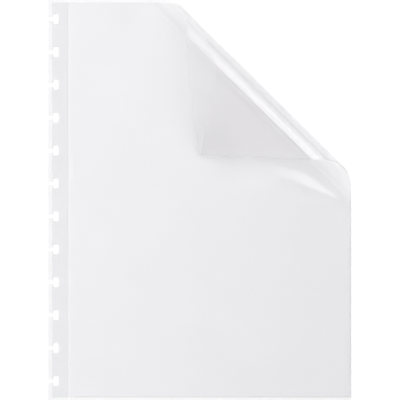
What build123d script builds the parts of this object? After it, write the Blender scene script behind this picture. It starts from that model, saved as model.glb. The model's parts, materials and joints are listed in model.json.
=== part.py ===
from build123d import *
import math
import os

# Sheet protector for disc binding, empty, lying on its back with its top right corner rolled over.
# +X runs from the punched edge across the pocket, +Y points to the open mouth, +Z up from the table.
# The origin is the middle of the back film, on its underside. Sizes are millimetres and degrees.

# Films
film_thickness = 0.12
pocket_gap = 0.20
sheet_width = 234.0

# Punched binding edge
notch_count = 12
notch_pitch = 25.4
stem_width = 2.6
stem_length = 3.9
head_depth = 4.3
head_width = 7.6
head_corner_radius = 1.6
entry_radius = 0.7

# Margins by which the back film stands out beyond the front film
binding_margin = 3.1
mouth_lip = 2.0
bottom_margin = 2.0

# Welds between the two films
strip_width = 15.3
spine_weld_width = 1.6
side_weld_width = 1.2
bottom_weld_width = 1.2
curved_weld_clearance = 0.02

# Rolled corner
fold_angle = 44.65
corner_setback = 111.3
curl_radius = 15.0
curl_hinges = 6
hinge_slit = 0.1
corner_rest_clearance = 0.4

# Heights of the layers
front_film_height = film_thickness + pocket_gap
pocket_thickness = front_film_height + film_thickness

# Edges of the two films
front_length = notch_count * notch_pitch
back_length = front_length + mouth_lip + bottom_margin
left_edge = -sheet_width / 2
right_edge = sheet_width / 2
back_bottom = -back_length / 2
back_top = back_length / 2
front_left = left_edge + binding_margin
front_bottom = back_bottom + bottom_margin
front_top = back_top - mouth_lip
leaf_hinge = left_edge + strip_width

# Directions of the fold: along it, square to it towards the corner, and up
along = Vector(math.cos(math.radians(fold_angle)), -math.sin(math.radians(fold_angle)), 0)
outward = Vector(math.sin(math.radians(fold_angle)), math.cos(math.radians(fold_angle)), 0)
up = Vector(0, 0, 1)
fold_foot = Vector(right_edge, back_top, 0) - outward * corner_setback
flat_fold = Plane(origin=fold_foot, x_dir=along, z_dir=up)
curl_section = Plane(origin=fold_foot + up * curl_radius, x_dir=outward, z_dir=along)
curl_axis = Axis(fold_foot + up * curl_radius, along)
far = 2 * (sheet_width + back_length)


def corner_height(wrap):
    """Height of the turned-over corner above the table when the curl wraps this many radians."""
    inner_radius = curl_radius - film_thickness
    straight = corner_setback - curl_radius * wrap
    return curl_radius - inner_radius * math.cos(wrap) + straight * math.sin(wrap)


def resting_wrap():
    """Wrap of the curl, in radians, that lays the turned-over corner on the pocket."""
    low = math.pi
    high = 1.4 * math.pi
    for _ in range(60):
        middle = (low + high) / 2
        if corner_height(middle) > pocket_thickness + corner_rest_clearance:
            low = middle
        else:
            high = middle
    return low


curl_wrap = resting_wrap()
hinge_turn = curl_wrap / curl_hinges
curl_length = curl_radius * curl_wrap


def rectangle_between(left, right, bottom, top):
    """Flat rectangle on the table plane, given by its four edges."""
    return Pos((left + right) / 2, (bottom + top) / 2) * Rectangle(right - left, top - bottom)


def before_fold():
    """Half of the table plane on the pocket's side of the line where the curl starts."""
    return flat_fold * Pos(0, -far / 2) * Rectangle(far, far)


def beyond_curl():
    """Half of the flat sheet's plane that lies past the end of the curl, at the corner."""
    return flat_fold * Pos(0, curl_length + far / 2) * Rectangle(far, far)


def layer(outline, bottom, thickness):
    """Flat layer of this outline and thickness, with its underside at this height."""
    return Pos(0, 0, bottom) * extrude(outline, amount=thickness)


def turned_over(flat_part):
    """Move a flat piece of the corner to where the curl carries it."""
    return (Pos(outward * -curl_length) * flat_part).rotate(curl_axis, math.degrees(curl_wrap))


def crossing_at_height(edge_y):
    """Where a sheet edge along X crosses the fold direction, as a function of the reach past the fold."""
    return lambda reach: (edge_y - fold_foot.Y - reach * outward.Y) / along.Y


def crossing_at_side(edge_x):
    """Where a sheet edge along Y crosses the fold direction, as a function of the reach past the fold."""
    return lambda reach: (edge_x - fold_foot.X - reach * outward.X) / along.X


def curl_point(crossing, angle):
    """Point of a sheet edge on the outside of the curl, at this wrap angle in radians."""
    sideways = outward * (curl_radius * math.sin(angle))
    raised = up * (curl_radius * (1 - math.cos(angle)))
    return fold_foot + along * crossing(curl_radius * angle) + sideways + raised


def edge_plane(crossing, first_angle, last_angle):
    """Plane that trims one slice of the curl along a sheet edge, facing along the fold."""
    first = curl_point(crossing, first_angle)
    last = curl_point(crossing, last_angle)
    middle = (first_angle + last_angle) / 2
    radial = outward * math.sin(middle) - up * math.cos(middle)
    normal = (last - first).cross(radial)
    if normal.dot(along) < 0:
        normal = normal * -1
    return Plane(origin=first, z_dir=normal)


def curl_slice(outside, thickness, first_angle, last_angle, start_edge, end_edge):
    """One slice of a rolled layer.

    outside is how deep the layer lies below the outside of the curl. The slice runs between two
    wrap angles in radians and is trimmed along two sheet edges.
    """
    outer_radius = curl_radius - outside
    inner_radius = outer_radius - thickness
    start = math.degrees(first_angle) - 90
    sweep = math.degrees(last_angle - first_angle)
    outer_arc = CenterArc((0, 0), outer_radius, start, sweep)
    inner_arc = CenterArc((0, 0), inner_radius, start, sweep)
    sector = make_face([
        outer_arc,
        Line(outer_arc @ 1, inner_arc @ 1),
        inner_arc,
        Line(inner_arc @ 0, outer_arc @ 0),
    ])
    shell = extrude(curl_section * sector, amount=far / 2, both=True)
    shell = split(shell, bisect_by=edge_plane(start_edge, first_angle, last_angle), keep=Keep.TOP)
    return split(shell, bisect_by=edge_plane(end_edge, first_angle, last_angle), keep=Keep.BOTTOM)


def slice_angles(index):
    """First and last wrap angle of a curl slice, which stops half a slit short of each hinge line."""
    half_slit = hinge_slit / 2 / curl_radius
    first = max((index - 0.5) * hinge_turn + half_slit, 0)
    last = min((index + 0.5) * hinge_turn - half_slit, curl_wrap)
    return first, last


def notch_row():
    """All the mushroom notches along the binding edge, as one flat outline."""
    stem = rectangle_between(left_edge - stem_length, left_edge + stem_length + entry_radius,
                             -stem_width / 2, stem_width / 2)
    head = Pos(left_edge + stem_length + head_depth / 2, 0)
    head = head * RectangleRounded(head_depth, head_width, head_corner_radius)
    first = -(notch_count - 1) / 2 * notch_pitch
    return [Pos(0, first + index * notch_pitch) * (stem + head) for index in range(notch_count)]


def punched(outline, outer_edge):
    """Cut the notch row into a strip and round the notch entries on its outer edge."""
    strip = outline - notch_row()
    corners = strip.vertices().filter_by(lambda corner: abs(corner.X - outer_edge) < 0.001)
    corners = corners.sort_by(Axis.Y)[1:-1]
    return fillet(corners, entry_radius)


# Outlines of the two films over the pocket and the corner
back_leaf = rectangle_between(leaf_hinge, right_edge, back_bottom, back_top)
front_leaf = rectangle_between(leaf_hinge, right_edge, front_bottom, front_top)
side_band = rectangle_between(right_edge - side_weld_width, right_edge, front_bottom, front_top)

nodes = {}

# Binding strip: both films lie flat on each other and are punched together
back_strip = rectangle_between(left_edge, leaf_hinge, back_bottom, back_top)
front_strip = rectangle_between(front_left, leaf_hinge, front_bottom, front_top)
nodes["back_film_binding"] = layer(punched(back_strip, left_edge), 0, film_thickness)
nodes["front_film_binding"] = layer(front_strip - notch_row(), film_thickness, film_thickness)

# Pocket: two flat films held apart and together by the weld lines
nodes["back_film_pocket"] = layer(back_leaf & before_fold(), 0, film_thickness)
nodes["front_film_pocket"] = layer(front_leaf & before_fold(), front_film_height, film_thickness)
spine_end = leaf_hinge + spine_weld_width
spine_band = rectangle_between(leaf_hinge, spine_end, front_bottom, front_top)
nodes["spine_weld"] = layer(spine_band, film_thickness, pocket_gap)
bottom_band = rectangle_between(spine_end, right_edge - side_weld_width,
                                front_bottom, front_bottom + bottom_weld_width)
nodes["bottom_weld"] = layer(bottom_band, film_thickness, pocket_gap)
nodes["side_weld_pocket"] = layer(side_band & before_fold(), film_thickness, pocket_gap)

# Curl: the same layers rolled round one axis, divided at the hinges that let the roll open
curved_weld_depth = film_thickness + curved_weld_clearance
curved_weld_thickness = pocket_gap - 2 * curved_weld_clearance
right_crossing = crossing_at_side(right_edge)
weld_crossing = crossing_at_side(right_edge - side_weld_width)
for index in range(curl_hinges + 1):
    first_angle, last_angle = slice_angles(index)
    nodes[f"back_film_curl_{index + 1}"] = curl_slice(
        0, film_thickness, first_angle, last_angle,
        crossing_at_height(back_top), right_crossing)
    nodes[f"front_film_curl_{index + 1}"] = curl_slice(
        front_film_height, film_thickness, first_angle, last_angle,
        crossing_at_height(front_top), right_crossing)
    nodes[f"side_weld_curl_{index + 1}"] = curl_slice(
        curved_weld_depth, curved_weld_thickness, first_angle, last_angle,
        weld_crossing, right_crossing)

# Corner: the flat end of the roll, turned over onto the pocket
back_corner = layer(back_leaf & beyond_curl(), 0, film_thickness)
front_corner = layer(front_leaf & beyond_curl(), front_film_height, film_thickness)
corner_weld = layer(side_band & beyond_curl(), film_thickness, pocket_gap)
nodes["back_film_corner"] = turned_over(back_corner)
nodes["front_film_corner"] = turned_over(front_corner)
nodes["side_weld_corner"] = turned_over(corner_weld)

os.makedirs("parts", exist_ok=True)
for name, shape in nodes.items():
    shape.label = name
    export_step(shape, f"parts/{name}.step")
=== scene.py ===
"""Looks of a clear sheet protector for disc binding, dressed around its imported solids.

Lengths are metres in the part's own frame: +X runs from the punched edge across the pocket, +Y to
the open mouth and +Z up from the table. A flat point lies where the film would be with its rolled
corner opened: x and y in the sheet's plane, and z the height above the sheet's underside.
"""

import json
import logging
import math
from dataclasses import dataclass, field
from enum import Enum
from typing import Protocol

import bmesh
import bpy
from mathutils import Matrix, Vector

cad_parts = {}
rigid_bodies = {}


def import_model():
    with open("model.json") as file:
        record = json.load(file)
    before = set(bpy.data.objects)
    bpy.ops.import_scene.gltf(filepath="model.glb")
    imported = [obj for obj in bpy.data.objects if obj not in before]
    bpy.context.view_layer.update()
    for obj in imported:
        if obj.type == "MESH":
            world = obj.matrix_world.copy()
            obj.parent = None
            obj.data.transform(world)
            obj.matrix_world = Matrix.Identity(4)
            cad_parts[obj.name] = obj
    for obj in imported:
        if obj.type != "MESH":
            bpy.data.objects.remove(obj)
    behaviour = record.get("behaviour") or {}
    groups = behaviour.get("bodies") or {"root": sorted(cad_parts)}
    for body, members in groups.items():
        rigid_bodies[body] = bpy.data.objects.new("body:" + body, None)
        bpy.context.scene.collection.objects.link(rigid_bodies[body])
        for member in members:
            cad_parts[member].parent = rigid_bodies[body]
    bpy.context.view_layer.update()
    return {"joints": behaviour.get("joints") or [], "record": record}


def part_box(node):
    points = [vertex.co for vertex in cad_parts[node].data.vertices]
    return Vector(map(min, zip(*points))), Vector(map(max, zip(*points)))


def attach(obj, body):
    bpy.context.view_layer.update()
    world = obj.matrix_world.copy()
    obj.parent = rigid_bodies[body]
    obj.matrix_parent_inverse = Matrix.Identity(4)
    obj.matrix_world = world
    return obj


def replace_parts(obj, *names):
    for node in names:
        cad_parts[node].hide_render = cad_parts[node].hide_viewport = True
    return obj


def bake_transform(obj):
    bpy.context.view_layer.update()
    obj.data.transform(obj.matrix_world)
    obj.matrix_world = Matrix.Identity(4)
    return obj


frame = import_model()

log = logging.getLogger("sheet_protector")

MM = 0.001
ACROSS = Vector((1.0, 0.0, 0.0))
ONWARD = Vector((0.0, 1.0, 0.0))
UP = Vector((0.0, 0.0, 1.0))
# The air between films and welds that lie on each other.
AIR = 0.01 * MM
# The UV map that holds where a point of the film lies when it is flat.
FLAT_MAP = "flat"
# How far a wave texture of scale 1 turns in a metre.
WAVE_RADIANS = 20.0
# Edges that turn more than this stay sharp.
RIM_ANGLE = math.radians(50)
# Points that lie nearer to each other than this are one point.
TOUCH = 1e-6


class FilmSide(Enum):
    """Which of the two films a piece belongs to; the value begins the names of its pieces and its
    imported nodes.
    """

    BACK = "back_film"
    FRONT = "front_film"


class FilmZone(Enum):
    """Which finish a face of film has; the value is its place in the piece's materials."""

    CLEAR = 0
    CUT_EDGE = 1
    FUSED = 2


def smooth(share: float) -> float:
    """Ease from 0 to 1 as a share goes from 0 to 1."""
    part = min(max(share, 0.0), 1.0)
    return part * part * (3 - 2 * part)


def whole(bm: bmesh.types.BMesh) -> list:
    """Every vertex, edge and face of a mesh in the making."""
    return bm.verts[:] + bm.edges[:] + bm.faces[:]


def score(bm: bmesh.types.BMesh, point: Vector, normal: Vector) -> None:
    """Cut a sheet along a plane and keep both sides."""
    bmesh.ops.bisect_plane(bm, geom=whole(bm), dist=TOUCH, plane_co=point, plane_no=normal)


def trim(bm: bmesh.types.BMesh, point: Vector, normal: Vector) -> None:
    """Cut a sheet along a plane and drop the side that the normal points to."""
    bmesh.ops.bisect_plane(
        bm, geom=whole(bm), dist=TOUCH, plane_co=point, plane_no=normal, clear_outer=True)


def flat_grid(place: Matrix, columns: int, rows: int) -> bmesh.types.BMesh:
    """A flat unit square of faces, carried to its place and stretched to its size.

    Args:
        place: the move, turn and stretch.
        columns: how many faces it has along its own x.
        rows: how many faces it has along its own y.

    Returns:
        The new mesh in the making.
    """
    bm = bmesh.new()
    bmesh.ops.create_grid(bm, x_segments=columns, y_segments=rows, size=0.5, matrix=place)
    return bm


def thicken(bm: bmesh.types.BMesh, thickness: float) -> None:
    """Raise a flat sheet into a closed slab.

    Args:
        bm: the flat sheet.
        thickness: of the slab.
    """
    raised = bmesh.ops.extrude_face_region(bm, geom=bm.faces[:], use_keep_orig=True)
    tops = [item for item in raised["geom"] if isinstance(item, bmesh.types.BMVert)]
    bmesh.ops.translate(bm, vec=UP * thickness, verts=tops)
    bmesh.ops.recalc_face_normals(bm, faces=bm.faces[:])


def map_flat(bm: bmesh.types.BMesh) -> None:
    """Give a slab a UV map of its flat x and y, so that patterns stay on the film as it bends.

    Args:
        bm: the slab, still flat.
    """
    layer = bm.loops.layers.uv.new(FLAT_MAP)
    for face in bm.faces:
        for loop in face.loops:
            loop[layer].uv = loop.vert.co.xy


def make_piece(
    name: str, bm: bmesh.types.BMesh, materials: list[bpy.types.Material]
) -> bpy.types.Object:
    """Turn a built mesh into an object with smooth faces and sharp rims.

    Args:
        name: the piece's name.
        bm: the mesh, in place in the part's frame; it is freed.
        materials: the finishes that the faces' material numbers stand for.

    Returns:
        The new object, at the origin.
    """
    for face in bm.faces:
        face.smooth = True
    for edge in bm.edges:
        edge.smooth = edge.calc_face_angle(math.pi) < RIM_ANGLE
    mesh = bpy.data.meshes.new(name)
    bm.to_mesh(mesh)
    bm.free()
    for material in materials:
        mesh.materials.append(material)
    piece = bpy.data.objects.new(name, mesh)
    bpy.context.scene.collection.objects.link(piece)
    return piece


class NodeGraph:
    """A node tree that is filled node by node.

    Attributes:
        usual_noise: the range in which nearly all of a noise lies.
        tree: the tree.
    """

    usual_noise: tuple[float, float] = (0.3, 0.7)

    def __init__(self, tree: bpy.types.NodeTree) -> None:
        """Take over a tree and clear it."""
        self.tree = tree
        tree.nodes.clear()

    @classmethod
    def for_material(cls, name: str) -> tuple["NodeGraph", bpy.types.Material]:
        """Start a material.

        Args:
            name: the material's name.

        Returns:
            The graph of its nodes, and the material.
        """
        material = bpy.data.materials.new(name)
        material.use_nodes = True
        return cls(material.node_tree), material

    def add(self, kind: str, options: dict | None = None, **sockets: object) -> bpy.types.Node:
        """Add a node.

        Args:
            kind: the node's type.
            options: its own properties, by name.
            **sockets: its inputs, by name with spaces written as underscores; a socket is linked
                and any other value is set.

        Returns:
            The node.
        """
        node = self.tree.nodes.new(kind)
        for option, value in (options or {}).items():
            setattr(node, option, value)
        for key, value in sockets.items():
            self.feed(node.inputs[key.replace("_", " ")], value)
        return node

    def feed(self, target: bpy.types.NodeSocket, value: object) -> None:
        """Link an output to an input, or set the input.

        Args:
            target: the input.
            value: another node's output, or a plain value.
        """
        if isinstance(value, bpy.types.NodeSocket):
            self.tree.links.new(value, target)
        else:
            target.default_value = value

    def math(self, operation: str, *values: object) -> bpy.types.NodeSocket:
        """Work out one value from others.

        Args:
            operation: what is done with them.
            *values: two or three, each a number or an output.

        Returns:
            The result.
        """
        node = self.add("ShaderNodeMath", {"operation": operation})
        for target, value in zip(node.inputs, values):
            self.feed(target, value)
        return node.outputs[0]

    def spread(self, value: bpy.types.NodeSocket, low: float, high: float) -> bpy.types.NodeSocket:
        """Stretch a noise value over its usual range.

        Args:
            value: the noise.
            low: the result where the noise is at its usual lowest.
            high: the result where it is at its usual highest.

        Returns:
            The stretched value.
        """
        noise_low, noise_high = self.usual_noise
        node = self.add("ShaderNodeMapRange", Value=value, From_Min=noise_low, From_Max=noise_high,
                        To_Min=low, To_Max=high)
        return node.outputs["Result"]

    def mix(self, share: object, first: bpy.types.NodeSocket,
            second: bpy.types.NodeSocket) -> bpy.types.NodeSocket:
        """Mix two shaders.

        Args:
            share: how much of the second shows, a number or an output.
            first: the one shader.
            second: the other.

        Returns:
            The mixed shader.
        """
        node = self.add("ShaderNodeMixShader")
        for target, value in zip(node.inputs, (share, first, second)):
            self.feed(target, value)
        return node.outputs[0]


@dataclass(frozen=True)
class FilmFinish:
    """Clear polypropylene film: glossy, a little cloudy, with faint lines along its length.

    Attributes:
        name: the material's name.
        tint: the colour that passes through one face.
        mirror: the share of light that one face reflects, seen square on.
        haze: the share of light that one face scatters.
        cloud: how much the haze varies.
        roughness: how soft the reflections are.
        emboss: how deep the fine surface grain is.
        ribs: how many pressed ribs there are in a metre, where there are any.
        rib_waver: how far the ribs stray from straight lines.
        relief_strength: how much of the grain or the ribs shows in the reflections.
        grain_scale: how fine the grain is.
        cloud_scale: how fine the clouds in the haze are.
        line_scale: how fine the lines are across the film, along it and through it.
        line_share: how much of the haze's change follows the lines; the clouds have the rest.
        line_gloss: how much the lines change the roughness.
        grazing_power: how late the reflection grows as the view grazes the film.
        milk: the colour of the scattered light.
        milk_through: the share of the scattered light that goes on through the film.
    """

    name: str
    tint: tuple[float, float, float]
    mirror: float
    haze: float
    cloud: float
    roughness: float
    emboss: float
    ribs: float = 0.0
    rib_waver: float = 0.3
    relief_strength: float = 0.2
    grain_scale: float = 900.0
    cloud_scale: float = 16.0
    line_scale: tuple[float, float, float] = (420.0, 5.0, 1.0)
    line_share: float = 0.12
    line_gloss: float = 0.08
    grazing_power: float = 5.0
    milk: tuple[float, float, float, float] = (0.94, 0.94, 0.96, 1.0)
    milk_through: float = 0.5

    def relief(self, graph: NodeGraph, flat: bpy.types.NodeSocket) -> bpy.types.NodeSocket:
        """The height of the surface's fine shape: grain, or ribs where they are pressed in.

        Args:
            graph: the material's nodes.
            flat: the place on the flat film.

        Returns:
            The height, from 0 to 1.
        """
        if not self.ribs:
            grain = graph.add("ShaderNodeTexNoise", Vector=flat, Scale=self.grain_scale, Detail=2.0)
            return grain.outputs["Fac"]
        options = {"wave_type": "BANDS", "bands_direction": "Y"}
        ribs = graph.add("ShaderNodeTexWave", options, Vector=flat, Detail=1.0,
                         Scale=self.ribs * math.tau / WAVE_RADIANS, Distortion=self.rib_waver)
        return ribs.outputs["Fac"]

    def material(self) -> bpy.types.Material:
        """Make the finish.

        Returns:
            The film's material.
        """
        graph, material = NodeGraph.for_material(self.name)
        flat = graph.add("ShaderNodeUVMap", {"uv_map": FLAT_MAP}).outputs["UV"]
        bump = graph.add("ShaderNodeBump", Strength=self.relief_strength, Distance=self.emboss,
                         Height=self.relief(graph, flat)).outputs["Normal"]
        cloud = graph.add("ShaderNodeTexNoise", Vector=flat, Scale=self.cloud_scale, Detail=3.0)
        drawn = graph.add("ShaderNodeMapping", Vector=flat, Scale=self.line_scale)
        lines = graph.add("ShaderNodeTexNoise", Vector=drawn.outputs["Vector"], Scale=1.0, Detail=2.0)
        mottle = graph.math("MULTIPLY_ADD", lines.outputs["Fac"], self.line_share,
                            graph.math("MULTIPLY", cloud.outputs["Fac"], 1 - self.line_share))
        haze = graph.spread(mottle, self.haze - self.cloud, self.haze + self.cloud)
        rough = graph.spread(lines.outputs["Fac"], self.roughness * (1 - self.line_gloss),
                             self.roughness * (1 + self.line_gloss))
        facing = graph.add("ShaderNodeLayerWeight", Blend=0.5, Normal=bump).outputs["Facing"]
        grazing = graph.math("POWER", facing, self.grazing_power)
        mirror = graph.math("MULTIPLY_ADD", grazing, 1 - self.mirror, self.mirror)
        clear = graph.add("ShaderNodeBsdfTransparent", Color=(*self.tint, 1.0))
        lit = graph.add("ShaderNodeBsdfDiffuse", Color=self.milk)
        glow = graph.add("ShaderNodeBsdfTranslucent", Color=self.milk)
        milk = graph.mix(self.milk_through, lit.outputs[0], glow.outputs[0])
        body = graph.mix(haze, clear.outputs[0], milk)
        gloss = graph.add("ShaderNodeBsdfGlossy", Color=(1.0, 1.0, 1.0, 1.0), Roughness=rough,
                          Normal=bump)
        graph.add("ShaderNodeOutputMaterial", Surface=graph.mix(mirror, body, gloss.outputs[0]))
        return material


@dataclass(frozen=True)
class Roll:
    """The rolled corner: where the sheet leaves the table and how it bends over.

    Attributes:
        foot: a point on the line where the bend starts.
        along: the direction of that line, towards the side weld.
        outward: the direction across it, towards the corner.
        radius: of the outside of the bend.
        hinge_turn: the angle that each hinge line takes up.
        bodies: the chain of bodies from the pocket to the corner, one hinge between each two.
    """

    foot: Vector
    along: Vector
    outward: Vector
    radius: float
    hinge_turn: float
    bodies: tuple[str, ...]

    @classmethod
    def from_frame(cls) -> "Roll":
        """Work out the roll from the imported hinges.

        Returns:
            The roll.
        """
        hinges = [joint for joint in frame["joints"] if joint["name"].startswith("corner_roll")]
        first = hinges[0]
        half_turn = math.radians(first["range_deg"][1]) / 2
        place = Vector(first["pos_m"])
        along = -Vector(first["axis"])
        outward = UP.cross(along)
        radius = place.z / (1 - math.cos(half_turn))
        foot = place - outward * (radius * math.sin(half_turn)) - UP * place.z
        bodies = (first["parent"], *(joint["child"] for joint in hinges))
        return cls(foot, along, outward, radius, 2 * half_turn, bodies)

    @property
    def hinge_count(self) -> int:
        """How many hinge lines the bend has."""
        return len(self.bodies) - 1

    @property
    def bend_length(self) -> float:
        """The length of film that the bend takes up."""
        return self.border(self.hinge_count)

    def border(self, index: int) -> float:
        """How far past the start of the bend a border between two bends lies, along the film."""
        return self.radius * self.hinge_turn * index

    def reach(self, flat: Vector) -> float:
        """How far a flat point lies past the line where the bend starts."""
        return (flat - self.foot).dot(self.outward)

    def flat(self, across: float, reach: float) -> Vector:
        """The flat point this far along the fold and this far past its start."""
        return self.foot + self.along * across + self.outward * reach

    def basis(self) -> Matrix:
        """The turn from a grid's own axes to along the fold, across it and up."""
        return Matrix((self.along, self.outward, UP)).transposed().to_4x4()

    def place(self, flat: Vector) -> Vector:
        """Where the roll carries a flat point.

        Args:
            flat: the point.

        Returns:
            Its place in the part's frame.
        """
        reach = self.reach(flat)
        if reach <= 0:
            return flat.copy()
        angle = min(reach, self.bend_length) / self.radius
        sine, cosine = math.sin(angle), math.cos(angle)
        across = (flat - self.foot).dot(self.along)
        outside = self.flat(across, self.radius * sine) + UP * (self.radius * (1 - cosine))
        straight = (self.outward * cosine + UP * sine) * max(reach - self.bend_length, 0.0)
        inward = UP * cosine - self.outward * sine
        return outside + straight + inward * flat.z


class Swell(Protocol):
    """A place where film leaves its flat shape."""

    def height(self, flat: Vector) -> float:
        """How far the film rises at a flat point."""


@dataclass(frozen=True)
class SpineBubble:
    """A long blister in the front film beside the spine weld, as clear as the weld itself.

    Attributes:
        middle: of the blister.
        half_width: from the middle to a side.
        half_length: from the middle to an end.
        rise: its height.
        end_share: the share of the half length over which it comes down at an end.
        slope_steps: how many faces lie across each slope.
    """

    middle: Vector = Vector((-98.35, 25.0, 0.0)) * MM
    half_width: float = 1.2 * MM
    half_length: float = 10.0 * MM
    rise: float = 0.12 * MM
    end_share: float = 1 / 3
    slope_steps: int = 4

    def covers(self, flat: Vector) -> bool:
        """Whether a flat point lies in the blister."""
        offset = flat - self.middle
        return abs(offset.x) < self.half_width and abs(offset.y) < self.half_length

    def height(self, flat: Vector) -> float:
        """How far the film rises.

        Args:
            flat: the flat point.

        Returns:
            The rise there.
        """
        offset = flat - self.middle
        across = smooth(1 - abs(offset.x) / self.half_width)
        return self.rise * across * smooth((1 - abs(offset.y) / self.half_length) / self.end_share)

    def outline(self, bm: bmesh.types.BMesh) -> None:
        """Mark the blister's slopes and ends.

        Args:
            bm: the flat sheet.
        """
        for step in range(-self.slope_steps, self.slope_steps + 1):
            score(bm, self.middle + ACROSS * (self.half_width * step / self.slope_steps), ACROSS)
        for end in (-1, 1):
            score(bm, self.middle + ONWARD * (self.half_length * end), ONWARD)


@dataclass(frozen=True)
class FoldCrease:
    """A low ridge in the front film, from beside the flap to a point near the side weld.

    Attributes:
        start: its end beside the flap.
        end: its point near the side weld.
        bow: how far it bends away from a straight line.
        ends: the share of its length over which it rises, and again over which it runs to a point.
        rise: its height.
        gentle_side: the width of the slope on the pocket's side.
        steep_side: the width of the slope on the roll's side.
    """

    start: Vector = Vector((24.0, 25.2, 0.0)) * MM
    end: Vector = Vector((114.5, -3.0, 0.0)) * MM
    bow: float = 0.8 * MM
    ends: float = 0.42
    rise: float = 1.2 * MM
    gentle_side: float = 18.0 * MM
    steep_side: float = 15.5 * MM

    def height(self, flat: Vector) -> float:
        """How far the film rises.

        Args:
            flat: the flat point.

        Returns:
            The rise there.
        """
        chord = self.end - self.start
        offset = flat - self.start
        share = offset.dot(chord) / chord.length_squared
        if not 0 < share < 1:
            return 0.0
        risen = smooth(share / self.ends)
        pointed = min((1 - share) / self.ends, 1.0)
        aside = offset.dot(UP.cross(chord).normalized()) - 4 * self.bow * share * (1 - share)
        width = (self.steep_side if aside > 0 else self.gentle_side) * pointed
        return self.rise * risen * pointed * smooth(1 - abs(aside) / width)


@dataclass(frozen=True)
class MouthGape:
    """The open mouth, where the front film stands a little off the back film.

    Attributes:
        middle: of the gape, at the mouth's edge.
        half_length: from the middle to an end, along the edge.
        depth: how far into the pocket it reaches.
        rise: its height at the edge.
    """

    middle: Vector = Vector((-72.0, 152.4, 0.0)) * MM
    half_length: float = 30.0 * MM
    depth: float = 48.0 * MM
    rise: float = 0.4 * MM

    def height(self, flat: Vector) -> float:
        """How far the film rises.

        Args:
            flat: the flat point.

        Returns:
            The rise there.
        """
        offset = flat - self.middle
        across = smooth(1 - abs(offset.x) / self.half_length)
        return self.rise * across * smooth(1 + offset.y / self.depth)


@dataclass(frozen=True)
class FlapFlare:
    """The turned-over corner's mouth edge, which springs up along a line from the corner.

    Attributes:
        roll: the roll that carries the corner.
        corner: the sheet's corner, flat.
        far_end: the other end of the line, flat.
        slope: how steeply the film leaves its plane past the line.
        softness: how wide the bend along the line is.
        fade: the length over which the film springs up.
    """

    roll: Roll
    corner: Vector
    far_end: Vector = Vector((48.0, 133.9, 0.0)) * MM
    slope: float = 0.05
    softness: float = 12.0 * MM
    fade: float = 30.0 * MM

    def height(self, flat: Vector) -> float:
        """How far the film rises, below zero because the corner lies face down.

        Args:
            flat: the flat point.

        Returns:
            The rise there.
        """
        line = (self.corner - self.far_end).normalized()
        past_line = (flat - self.corner).dot(UP.cross(line))
        lifted = (past_line + math.hypot(past_line, self.softness)) / 2
        sprung = self.roll.reach(flat) - self.roll.bend_length
        return -self.slope * lifted * smooth(sprung / self.fade)


@dataclass(frozen=True)
class MouthSlip:
    """The slack by which a film's mouth edge slips along the turned-over corner.

    Attributes:
        roll: the roll that takes up the slack.
        corner: the film's corner, flat, where the side weld holds it.
        rate: how far the edge slips back for each length from the corner.
        peak: the length from the corner where it has slipped furthest.
        run_out: the length past the peak over which it comes back to its place.
        ripple: the height of the edge's waves.
        ripple_length: from one wave to the next.
        depth: how deep into the pocket the slack reaches.
    """

    roll: Roll
    corner: Vector
    rate: float
    peak: float
    run_out: float
    ripple: float
    ripple_length: float = 23.0 * MM
    depth: float = 85.0 * MM

    def slid(self, flat: Vector) -> Vector:
        """Where a flat point of the film lies once the edge has slipped.

        Args:
            flat: the flat point.

        Returns:
            The flat point that it has moved to.
        """
        if self.roll.reach(flat) <= 0:
            return flat.copy()
        length = max(self.corner.x - flat.x, 0.0)
        back = self.rate * min(length, self.peak) * (1 - smooth((length - self.peak) / self.run_out))
        wave = self.ripple * math.sin(math.tau * length / self.ripple_length)
        near_mouth = smooth(1 - (self.corner.y - flat.y) / self.depth)
        near_roll = smooth(self.roll.reach(flat) / self.roll.radius)
        slip = (back + wave * smooth(length / self.ripple_length)) * near_mouth * near_roll
        return flat - Vector((0.0, slip, 0.0))


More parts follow.
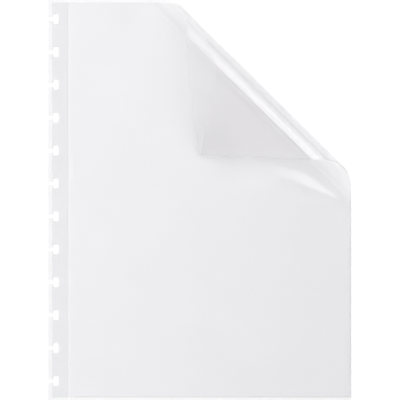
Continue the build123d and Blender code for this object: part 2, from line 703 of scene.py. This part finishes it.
@dataclass(frozen=True)
class NotchRow:
    """The mushroom notches along the punched edge.

    Attributes:
        count: how many there are.
        pitch: from one to the next.
        edge: where the sheet's punched edge lies.
        stem_width: of the notch's neck.
        stem_length: from the edge to the head.
        head_width: along the edge.
        head_depth: into the sheet.
        head_corner: the radius of the head's corners.
        entry_corner: the radius of the corners at the edge.
        arc_steps: the number of faces round a corner.
    """

    count: int
    pitch: float
    edge: float
    stem_width: float = 2.6 * MM
    stem_length: float = 3.9 * MM
    head_width: float = 7.6 * MM
    head_depth: float = 4.3 * MM
    head_corner: float = 1.6 * MM
    entry_corner: float = 0.7 * MM
    arc_steps: int = 6

    @classmethod
    def from_frame(cls) -> "NotchRow":
        """Take the row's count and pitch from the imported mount.

        Returns:
            The row.
        """
        mount = next(item for item in frame["record"]["mounts"] if item["name"] == "disc_notches")
        pitch = mount["dims"]["spacing_x_mm"] * MM
        return cls(int(mount["dims"]["count"]), pitch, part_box("back_film_binding")[0].x)

    def round_corners(self, bm: bmesh.types.BMesh, corners: list, radius: float) -> None:
        """Round some corners of a flat outline."""
        bmesh.ops.bevel(bm, geom=corners, offset=radius, offset_type="OFFSET", affect="VERTICES",
                        segments=self.arc_steps, profile=0.5, material=-1)

    def strip_sheet(self, left: float, right: float) -> bmesh.types.BMesh:
        """A flat strip of film with the notches cut in, as long as the row.

        Args:
            left: where the strip's own punched edge lies.
            right: where it ends.

        Returns:
            The strip, one face to a notch.
        """
        bm = bmesh.new()
        half, stem, head = self.pitch / 2, self.stem_width / 2, self.head_width / 2
        neck = self.edge + self.stem_length
        back = neck + self.head_depth
        outline = [
            (left, -half), (right, -half), (right, half), (left, half), (left, stem), (neck, stem),
            (neck, head), (back, head), (back, -head), (neck, -head), (neck, -stem), (left, -stem)]
        corners = [bm.verts.new((x, y, 0.0)) for x, y in outline]
        bm.faces.new(corners)
        entry = [corners[4], corners[11]]
        self.round_corners(bm, corners[6:10], self.head_corner)
        if left <= self.edge + TOUCH:
            self.round_corners(bm, entry, self.entry_corner)
        tile = whole(bm)
        for index in range(1, self.count):
            copied = bmesh.ops.duplicate(bm, geom=tile)["geom"]
            verts = [item for item in copied if isinstance(item, bmesh.types.BMVert)]
            bmesh.ops.translate(bm, vec=(0.0, index * self.pitch, 0.0), verts=verts)
        middle = (self.count - 1) / 2 * self.pitch
        bmesh.ops.translate(bm, vec=(0.0, -middle, 0.0), verts=bm.verts[:])
        bmesh.ops.remove_doubles(bm, verts=bm.verts[:], dist=TOUCH)
        return bm


MOUTH_SLIP: dict[FilmSide, dict[str, float]] = {
    FilmSide.BACK: {"rate": -0.03, "peak": 90.0 * MM, "run_out": 36.0 * MM, "ripple": 0.0},
    FilmSide.FRONT: {"rate": 0.268, "peak": 66.0 * MM, "run_out": 70.0 * MM, "ripple": 0.4 * MM},
}


@dataclass
class RolledLayer:
    """A layer of the sheet: flat over the pocket, then round the roll to the corner.

    Attributes:
        roll: the roll that it follows.
        left: its left edge over the pocket.
        right: its right edge.
        bottom: its bottom edge.
        top: its top edge.
        height: of its underside over the sheet's underside.
        thickness: of the layer.
        cell: the size of its faces.
        row: the width of its faces round the bend.
        oversize: how many times too long a grid is made along the fold, before it is trimmed.
    """

    roll: Roll
    left: float
    right: float
    bottom: float
    top: float
    height: float
    thickness: float
    cell: float = 2.0 * MM
    row: float = 0.75 * MM
    oversize: float = 1.1

    def edges(self) -> list[tuple[Vector, Vector]]:
        """The layer's edges.

        Returns:
            A point on each edge and the direction out of the layer there: left, bottom, right, top.
        """
        low = Vector((self.left, self.bottom, 0.0))
        high = Vector((self.right, self.top, 0.0))
        return [(low, -ACROSS), (low, -ONWARD), (high, ACROSS), (high, ONWARD)]

    def leaf_sheet(self) -> bmesh.types.BMesh:
        """The layer's flat part over the pocket.

        Returns:
            The flat part, cut off where the bend starts.
        """
        width, length = self.right - self.left, self.top - self.bottom
        middle = Vector(((self.left + self.right) / 2, (self.bottom + self.top) / 2, 0.0))
        place = Matrix.Translation(middle) @ Matrix.Diagonal((width, length, 1.0, 1.0))
        bm = flat_grid(place, math.ceil(width / self.cell), math.ceil(length / self.cell))
        trim(bm, self.roll.foot, self.roll.outward)
        return bm

    def rolled_sheet(self, first: float, last: float, row: float) -> bmesh.types.BMesh:
        """The layer's part between two distances past the start of the bend, still flat.

        Args:
            first: where it starts.
            last: where it ends.
            row: the width of its faces across the fold.

        Returns:
            The flat part, cut to the layer's edges.
        """
        span = 2 * (self.right - self.roll.foot.x) / self.roll.along.x
        middle = self.roll.flat(0.0, (first + last) / 2)
        stretch = Matrix.Diagonal((span * self.oversize, last - first, 1.0, 1.0))
        place = Matrix.Translation(middle) @ self.roll.basis() @ stretch
        bm = flat_grid(place, math.ceil(span / self.cell), math.ceil((last - first) / row))
        for point, normal in self.edges():
            trim(bm, point, normal)
        return bm

    def bend_sheet(self, index: int) -> bmesh.types.BMesh:
        """The flat part that bends at one hinge line, counted from 1."""
        return self.rolled_sheet(self.roll.border(index - 1), self.roll.border(index), self.row)

    def corner_sheet(self) -> bmesh.types.BMesh:
        """The flat part past the bend."""
        end = self.roll.reach(Vector((self.right, self.top, 0.0)))
        return self.rolled_sheet(self.roll.bend_length, end, self.cell)

    def raise_sheet(self, bm: bmesh.types.BMesh, swells: tuple[Swell, ...] = ()) -> None:
        """Give a flat part its thickness, its pattern's map, its swells and its place on the roll.

        Args:
            bm: the flat part, at height 0.
            swells: where it leaves its flat shape.
        """
        thicken(bm, self.thickness)
        map_flat(bm)
        for vert in bm.verts:
            rise = sum(swell.height(vert.co) for swell in swells)
            vert.co = self.roll.place(self.slid(vert.co) + UP * (self.height + rise))

    def slid(self, flat: Vector) -> Vector:
        """Where a flat point lies once the layer's slack is taken up; here it stays."""
        return flat

    def follow_bend(self, piece: bpy.types.Object, index: int) -> None:
        """Bake a piece at a hinge line into the part's frame; its two ends are worked out, but it
        follows neither body.

        Args:
            piece: the piece.
            index: of the hinge line, counted from 1.
        """
        start = self.roll.place(self.roll.flat(0.0, self.roll.border(index - 1)))
        end = self.roll.place(self.roll.flat(0.0, self.roll.border(index)))
        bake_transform(piece)


@dataclass
class Film(RolledLayer):
    """One of the two films, from its punched strip to its rolled corner.

    Attributes:
        side: which film it is.
        notches: the row that is punched into its strip.
        punched_edge: where its strip starts.
        hinge: where the strip ends and the leaf turns.
        strip_height: of the strip's underside.
        weld_end: the right edge of the spine weld.
        bubble: the blister beside the spine weld, if it has one.
        swells: where else the leaf leaves its flat shape.
        flares: where the turned-over corner leaves its plane.
        slip: how its mouth edge slips back under the flap, if it does.
        materials: of the leaf, the bends and the corner, one to a zone.
        strip_materials: of the strip, one to a zone.
        edge_width: of the cut edge that catches the light.
        hinge_reach: how far left and right of the hinge the film bends.
        hinge_steps: the number of faces across that bend.
        leaf_area: of the leaf, flat, once it is built.
    """

    side: FilmSide = FilmSide.BACK
    notches: NotchRow | None = None
    punched_edge: float = 0.0
    hinge: float = 0.0
    strip_height: float = 0.0
    weld_end: float = 0.0
    bubble: SpineBubble | None = None
    swells: tuple[Swell, ...] = ()
    flares: tuple[Swell, ...] = ()
    slip: MouthSlip | None = None
    materials: list[bpy.types.Material] = field(default_factory=list)
    strip_materials: list[bpy.types.Material] = field(default_factory=list)
    edge_width: float = 0.3 * MM
    hinge_reach: tuple[float, float] = (0.8 * MM, 0.2 * MM)
    hinge_steps: int = 8
    leaf_area: float = 0.0

    @classmethod
    def from_frame(
        cls, side: FilmSide, roll: Roll, notches: NotchRow, lift: float = 0.0
    ) -> "Film":
        """Work out a film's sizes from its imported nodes.

        Args:
            side: which film.
            roll: the rolled corner.
            notches: the punched row.
            lift: how far its strip stands off what lies below it.

        Returns:
            The film, not yet built or dressed.
        """
        strip_low, strip_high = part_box(f"{side.value}_binding")
        leaf_low, leaf_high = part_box(f"{side.value}_pocket")
        corner = Vector((leaf_high.x, leaf_high.y, 0.0))
        return cls(
            roll=roll, left=strip_high.x + cls.hinge_reach[1], right=leaf_high.x,
            bottom=leaf_low.y, top=leaf_high.y, height=leaf_low.z,
            thickness=leaf_high.z - leaf_low.z, side=side, notches=notches,
            punched_edge=strip_low.x, hinge=strip_high.x, strip_height=strip_low.z + lift,
            weld_end=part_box("spine_weld")[1].x,
            flares=(FlapFlare(roll, corner),), slip=MouthSlip(roll, corner, **MOUTH_SLIP[side]))

    def name(self, part: str) -> str:
        """The name of one of the film's pieces."""
        return f"{self.side.value}_{part}"

    def slid(self, flat: Vector) -> Vector:
        """Where a flat point lies once the film's slack is taken up."""
        return self.slip.slid(flat) if self.slip else flat

    def zone_of(self, point: Vector) -> FilmZone:
        """Which finish the film has.

        Args:
            point: a flat point of its leaf, its bends or its corner.

        Returns:
            The zone that the point lies in.
        """
        margin = min(self.right - point.x, self.top - point.y, point.y - self.bottom)
        if margin < self.edge_width:
            return FilmZone.CUT_EDGE
        clear_spot = self.bubble is not None and self.bubble.covers(point)
        return FilmZone.FUSED if clear_spot or point.x < self.weld_end else FilmZone.CLEAR

    def score_edges(self, bm: bmesh.types.BMesh) -> None:
        """Mark the cut edges and the line along the spine weld, and give each face its finish.

        Args:
            bm: a flat part of the leaf, the bends or the corner.
        """
        for point, normal in self.edges()[1:]:
            score(bm, point - normal * self.edge_width, normal)
        score(bm, ACROSS * self.weld_end, ACROSS)
        for face in bm.faces:
            face.material_index = self.zone_of(face.calc_center_median()).value

    def build_strip(self) -> bpy.types.Object:
        """Build the punched strip.

        Returns:
            The strip, which bends at the hinge beside the spine weld.
        """
        bm = self.notches.strip_sheet(self.punched_edge, self.left)
        end = self.notches.count * self.notches.pitch / 2
        for vert in bm.verts:
            if abs(vert.co.y) > end - TOUCH:
                vert.co.y = self.top if vert.co.y > 0 else self.bottom
        rim = bmesh.ops.inset_region(
            bm, faces=bm.faces[:], thickness=self.edge_width, use_boundary=True, use_even_offset=True)
        for face in rim["faces"]:
            if face.calc_center_median().x < self.hinge - self.edge_width:
                face.material_index = FilmZone.CUT_EDGE.value
        before, after = self.hinge_reach
        for step in range(self.hinge_steps):
            line = self.hinge - before + (before + after) * step / self.hinge_steps
            score(bm, ACROSS * line, ACROSS)
        thicken(bm, self.thickness)
        map_flat(bm)
        for vert in bm.verts:
            ramp = smooth(1 + (vert.co.x - self.hinge) / before)
            vert.co.z += self.strip_height + (self.height - self.strip_height) * ramp
        strip = make_piece(self.name("strip"), bm, self.strip_materials)
        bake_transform(strip)
        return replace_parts(strip, self.name("binding"))

    def build_leaf(self) -> bpy.types.Object:
        """Build the flat part over the pocket.

        Returns:
            The leaf.
        """
        bm = self.leaf_sheet()
        self.leaf_area = sum(face.calc_area() for face in bm.faces)
        if self.bubble:
            self.bubble.outline(bm)
        self.score_edges(bm)
        blisters = (self.bubble,) if self.bubble else ()
        self.raise_sheet(bm, self.swells + blisters)
        leaf = make_piece(self.name("leaf"), bm, self.materials)
        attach(leaf, self.roll.bodies[0])
        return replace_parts(leaf, self.name("pocket"))

    def build_bend(self, index: int) -> bpy.types.Object:
        """Build the part that bends at one hinge line.

        Args:
            index: of the hinge line, counted from 1.

        Returns:
            The bend.
        """
        bm = self.bend_sheet(index)
        self.score_edges(bm)
        self.raise_sheet(bm)
        bend = make_piece(self.name(f"bend_{index}"), bm, self.materials)
        self.follow_bend(bend, index)
        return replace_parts(bend, self.name(f"curl_{index}"))

    def build_corner(self) -> bpy.types.Object:
        """Build the corner past the bend.

        Returns:
            The corner, turned over onto the pocket.
        """
        bm = self.corner_sheet()
        self.score_edges(bm)
        self.raise_sheet(bm, self.flares)
        corner = make_piece(self.name("turned_corner"), bm, self.materials)
        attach(corner, self.roll.bodies[-1])
        last = self.roll.hinge_count + 1
        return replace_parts(corner, self.name(f"curl_{last}"), self.name("corner"))

    def build(self, clear: FilmFinish, strip: FilmFinish, edge: FilmFinish,
              fused: FilmFinish) -> list[bpy.types.Object]:
        """Build and dress every piece of the film.

        Args:
            clear: the finish of the leaf and the corner.
            strip: the finish of the punched strip.
            edge: the finish of the cut edges.
            fused: the finish over the spine weld.

        Returns:
            The pieces, from the strip to the corner.
        """
        cut, melted = edge.material(), fused.material()
        self.materials = [clear.material(), cut, melted]
        self.strip_materials = [strip.material(), cut, melted]
        pieces = [self.build_strip(), self.build_leaf()]
        pieces += [self.build_bend(index + 1) for index in range(self.roll.hinge_count)]
        pieces.append(self.build_corner())
        return pieces


@dataclass
class SideWeld(RolledLayer):
    """The weld along the right edge, which follows the roll.

    Attributes:
        slot: the name of a material slot, which nothing here reads.
    """

    slot: str = "weld_line"

    @classmethod
    def from_frame(cls, roll: Roll, skin: float) -> "SideWeld":
        """Work out the weld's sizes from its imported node.

        Args:
            roll: the rolled corner.
            skin: how far the weld stays off the films above and below.

        Returns:
            The weld, not yet built or dressed.
        """
        low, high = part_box("side_weld_pocket")
        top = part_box("front_film_pocket")[1].y
        return cls(roll=roll, left=low.x, right=high.x, bottom=low.y, top=top, height=low.z + skin,
                   thickness=high.z - low.z - 2 * skin)

    def build(self, finish: FilmFinish) -> list[bpy.types.Object]:
        """Build and dress every piece of the weld.

        Args:
            finish: the weld's finish.

        Returns:
            The pieces, from the pocket to the corner.
        """
        material = finish.material()
        count = self.roll.hinge_count
        sheets = {"side_weld_pocket": self.leaf_sheet()}
        for index in range(1, count + 1):
            sheets[f"side_weld_curl_{index}"] = self.bend_sheet(index)
        sheets["side_weld_corner"] = self.corner_sheet()
        pieces = []
        for index, (node, bm) in enumerate(sheets.items()):
            self.raise_sheet(bm)
            piece = make_piece(f"{node}_line", bm, [material])
            if 1 <= index <= count:
                self.follow_bend(piece, index)
            else:
                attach(piece, self.roll.bodies[0 if index == 0 else -1])
            pieces.append(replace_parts(piece, node))
        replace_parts(pieces[-1], f"side_weld_curl_{count + 1}")
        return pieces


@dataclass
class RibbedWeld:
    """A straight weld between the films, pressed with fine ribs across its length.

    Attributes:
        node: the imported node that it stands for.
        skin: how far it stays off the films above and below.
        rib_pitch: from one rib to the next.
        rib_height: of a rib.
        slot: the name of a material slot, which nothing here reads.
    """

    node: str
    skin: float
    rib_pitch: float = 1.2 * MM
    rib_height: float = 0.03 * MM
    slot: str = "weld_line"

    def build(self, finish: FilmFinish) -> list[bpy.types.Object]:
        """Build and dress the weld.

        Args:
            finish: the weld's finish.

        Returns:
            The one piece.
        """
        low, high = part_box(self.node)
        size = high - low
        lengthways = 0 if size.x > size.y else 1
        ribs = round(size[lengthways] / self.rib_pitch)
        # Two faces lie across the weld, and two to each rib along it.
        steps = [2, 2]
        steps[lengthways] = 2 * ribs
        middle = Vector(((low.x + high.x) / 2, (low.y + high.y) / 2, 0.0))
        place = Matrix.Translation(middle) @ Matrix.Diagonal((size.x, size.y, 1.0, 1.0))
        bm = flat_grid(place, *steps)
        thicken(bm, size.z - 2 * self.skin - self.rib_height)
        map_flat(bm)
        for vert in bm.verts:
            step = round((vert.co[lengthways] - low[lengthways]) / size[lengthways] * 2 * ribs)
            if vert.co.z > 0 and step % 2:
                vert.co.z += self.rib_height
            vert.co.z += low.z + self.skin
        piece = make_piece(f"{self.node}_line", bm, [finish.material()])
        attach(piece, "pocket")
        return [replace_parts(piece, self.node)]


@dataclass(frozen=True)
class SoftLight:
    """A soft light panel.

    Attributes:
        name: the lamp's name.
        zenith: its angle from straight up, in degrees.
        azimuth: its direction on the table, in degrees from +X.
        distance: from the object.
        size: its width, and its height towards the zenith.
        radiance: how bright its face is, where 1 is white.
    """

    name: str
    zenith: float
    azimuth: float
    distance: float
    size: tuple[float, float]
    radiance: float

    def build(self, target: Vector) -> bpy.types.Object:
        """Hang the lamp.

        Args:
            target: the point that it faces.

        Returns:
            The lamp.
        """
        lamp = bpy.data.lights.new(self.name, "AREA")
        lamp.shape = "RECTANGLE"
        lamp.size, lamp.size_y = self.size
        lamp.energy = self.radiance * math.pi * self.size[0] * self.size[1]
        tilt, turn = math.radians(self.zenith), math.radians(self.azimuth)
        level = math.sin(tilt)
        away = Vector((level * math.cos(turn), level * math.sin(turn), math.cos(tilt)))
        holder = bpy.data.objects.new(self.name, lamp)
        holder.location = target + away * self.distance
        holder.rotation_mode = "QUATERNION"
        holder.rotation_quaternion = (-away).to_track_quat("-Z", "Y")
        holder.visible_camera = False
        bpy.context.scene.collection.objects.link(holder)
        return holder


@dataclass(frozen=True)
class Studio:
    """The table, the light and the camera.

    Attributes:
        lights: the lamps.
        floor_size: of the table.
        floor_drop: how far the table lies below the sheet.
        floor_colour: of the table under the lamps.
        floor_glow: how much of the table's white the eye sees without the lamps.
        sky_low: the sky's brightness at the horizon.
        sky_side: its brightness above the horizon.
        sky_even: the height, as a sine, from where the horizon no longer shows.
        ceiling_rim: the height, as a sine, from where the ceiling shows.
        ceiling_blur: how far above and below that it fades in.
        ceiling_lit: the ceiling's brightness on the side of the window.
        ceiling_dim: its brightness on the other side.
        ceiling_edge: how wide the change from lit to dim is, as a sine.
        ceiling_turn: how far towards the window the change lies, as a sine.
        window: the direction of the ceiling's lit side.
        camera_height: over the table.
        frame_width: what the picture is wide on the table.
        frame_shift: how far the picture's middle lies right of the sheet's.
        clear_faces: how many faces of film a line of sight may pass through.
    """

    lights: tuple[SoftLight, ...]
    floor_size: float = 12.0
    floor_drop: float = 0.3 * MM
    floor_colour: float = 0.8
    floor_glow: float = 0.185
    sky_low: float = 0.5
    sky_side: float = 0.76
    sky_even: float = 0.6
    ceiling_rim: float = 0.984
    ceiling_blur: float = 0.005
    ceiling_lit: float = 1.25
    ceiling_dim: float = 0.0
    ceiling_edge: float = 0.08
    ceiling_turn: float = -0.012
    window: tuple[float, float, float] = (-0.97, 0.24, 0.0)
    camera_height: float = 2.5
    frame_width: float = 308.76 * MM
    frame_shift: float = 0.2 * MM
    clear_faces: int = 48

    def build(self) -> None:
        """Set up the whole studio."""
        self.build_floor()
        self.build_sky()
        for light in self.lights:
            light.build(Vector((0.0, 0.0, 0.0)))
        self.build_camera()
        bpy.context.scene.view_settings.view_transform = "Standard"
        bpy.context.scene.cycles.transparent_max_bounces = self.clear_faces

    def build_floor(self) -> None:
        """A white table that keeps the object's shadow."""
        bm = bmesh.new()
        bmesh.ops.create_grid(bm, x_segments=1, y_segments=1, size=self.floor_size / 2)
        bmesh.ops.translate(bm, vec=UP * -self.floor_drop, verts=bm.verts[:])
        graph, material = NodeGraph.for_material("white_table")
        path = graph.add("ShaderNodeLightPath").outputs
        seen = graph.math("ADD", path["Is Camera Ray"],
                          graph.math("ADD", path["Is Glossy Ray"], path["Is Transmission Ray"]))
        glow = graph.add("ShaderNodeEmission", Color=(1.0, 1.0, 1.0, 1.0),
                         Strength=graph.math("MULTIPLY", seen, self.floor_glow))
        paint = graph.add("ShaderNodeBsdfDiffuse", Color=(*[self.floor_colour] * 3, 1.0))
        both = graph.add("ShaderNodeAddShader")
        graph.feed(both.inputs[0], glow.outputs[0])
        graph.feed(both.inputs[1], paint.outputs[0])
        graph.add("ShaderNodeOutputMaterial", Surface=both.outputs[0])
        make_piece("table", bm, [material])

    def build_sky(self) -> None:
        """A plain sky, with a ceiling overhead that is lit from one side."""
        world = bpy.data.worlds.new("studio_sky")
        world.use_nodes = True
        graph = NodeGraph(world.node_tree)
        way = graph.add("ShaderNodeTexCoord").outputs["Generated"]
        rise = graph.add("ShaderNodeSeparateXYZ", Vector=way).outputs["Z"]
        lean = graph.add("ShaderNodeVectorMath", {"operation": "DOT_PRODUCT"})
        graph.feed(lean.inputs[0], way)
        graph.feed(lean.inputs[1], self.window)
        soft = {"interpolation_type": "SMOOTHSTEP"}
        ceiling = graph.add(
            "ShaderNodeMapRange", soft, Value=lean.outputs["Value"],
            From_Min=self.ceiling_turn - self.ceiling_edge / 2,
            From_Max=self.ceiling_turn + self.ceiling_edge / 2,
            To_Min=self.ceiling_dim, To_Max=self.ceiling_lit)
        walls = graph.add("ShaderNodeMapRange", Value=rise, From_Min=0.0, From_Max=self.sky_even,
                          To_Min=self.sky_low, To_Max=self.sky_side)
        shade = graph.add(
            "ShaderNodeMapRange", soft, Value=rise, From_Min=self.ceiling_rim - self.ceiling_blur,
            From_Max=self.ceiling_rim + self.ceiling_blur, To_Min=walls.outputs["Result"],
            To_Max=ceiling.outputs["Result"])
        sky = graph.add("ShaderNodeBackground", Strength=shade.outputs["Result"])
        sky.inputs["Color"].default_value = (1.0, 1.0, 1.0, 1.0)
        graph.add("ShaderNodeOutputWorld", Surface=sky.outputs[0])
        bpy.context.scene.world = world

    def build_camera(self) -> None:
        """A camera straight above the sheet, with +Y up in the picture."""
        lens = bpy.data.cameras.new("camera")
        lens.lens = lens.sensor_width * self.camera_height / self.frame_width
        holder = bpy.data.objects.new("camera", lens)
        holder.location = (self.frame_shift, 0.0, self.camera_height)
        bpy.context.scene.collection.objects.link(holder)
        bpy.context.scene.camera = holder


BACK_FILM = FilmFinish(
    "back_film", tint=(0.9871, 0.9857, 0.9882), mirror=0.042, haze=0.033, cloud=0.006,
    roughness=0.18, emboss=0.02 * MM)
FRONT_FILM = FilmFinish(
    "front_film", tint=(0.9882, 0.9868, 0.9893), mirror=0.042, haze=0.03, cloud=0.006,
    roughness=0.17, emboss=0.012 * MM)
STRIP_FILM = FilmFinish(
    "strip_film", tint=(0.979, 0.9783, 0.981), mirror=0.036, haze=0.036, cloud=0.008,
    roughness=0.16, emboss=0.03 * MM)
FUSED_FILM = FilmFinish(
    "fused_film", tint=(0.9935, 0.993, 0.996), mirror=0.014, haze=0.02, cloud=0.005,
    roughness=0.15, emboss=0.015 * MM, ribs=830.0)
CUT_EDGE = FilmFinish(
    "cut_edge", tint=(0.987, 0.987, 0.989), mirror=0.04, haze=0.05, cloud=0.012,
    roughness=0.2, emboss=0.03 * MM)
SIDE_LINE = FilmFinish(
    "side_line", tint=(0.99, 0.99, 0.992), mirror=0.03, haze=0.06, cloud=0.015,
    roughness=0.2, emboss=0.03 * MM)
BOTTOM_LINE = FilmFinish(
    "bottom_line", tint=(0.999, 0.999, 0.999), mirror=0.008, haze=0.02, cloud=0.005,
    roughness=0.2, emboss=0.02 * MM)
SPINE_LINE = FilmFinish(
    "spine_line", tint=(0.998, 0.998, 0.999), mirror=0.01, haze=0.02, cloud=0.005,
    roughness=0.3, emboss=0.03 * MM)

STUDIO = Studio(lights=(
    SoftLight("key", zenith=32.0, azimuth=45.0, distance=2.0, size=(2.2, 1.36), radiance=1.62),
    SoftLight("key_wing", zenith=62.0, azimuth=45.0, distance=2.0, size=(2.2, 0.92), radiance=0.6),
    SoftLight("front_fill", zenith=56.0, azimuth=225.0, distance=1.0, size=(1.8, 0.9), radiance=0.31),
))


def main() -> None:
    """Build every piece of the sheet protector, then the studio round it."""
    logging.basicConfig(level=logging.INFO, format="%(message)s")
    roll = Roll.from_frame()
    notches = NotchRow.from_frame()
    back = Film.from_frame(FilmSide.BACK, roll, notches)
    front = Film.from_frame(FilmSide.FRONT, roll, notches, AIR)
    front.bubble = SpineBubble()
    front.swells = (FoldCrease(), MouthGape())
    pieces = back.build(BACK_FILM, STRIP_FILM, CUT_EDGE, FUSED_FILM)
    pieces += front.build(FRONT_FILM, STRIP_FILM, CUT_EDGE, FUSED_FILM)
    pieces += SideWeld.from_frame(roll, AIR).build(SIDE_LINE)
    pieces += RibbedWeld("spine_weld", AIR).build(SPINE_LINE)
    pieces += RibbedWeld("bottom_weld", AIR).build(BOTTOM_LINE)
    for piece in pieces:
        log.info("%s: %d faces", piece.name, len(piece.data.polygons))
    STUDIO.build()


if __name__ == "__main__":
    main()
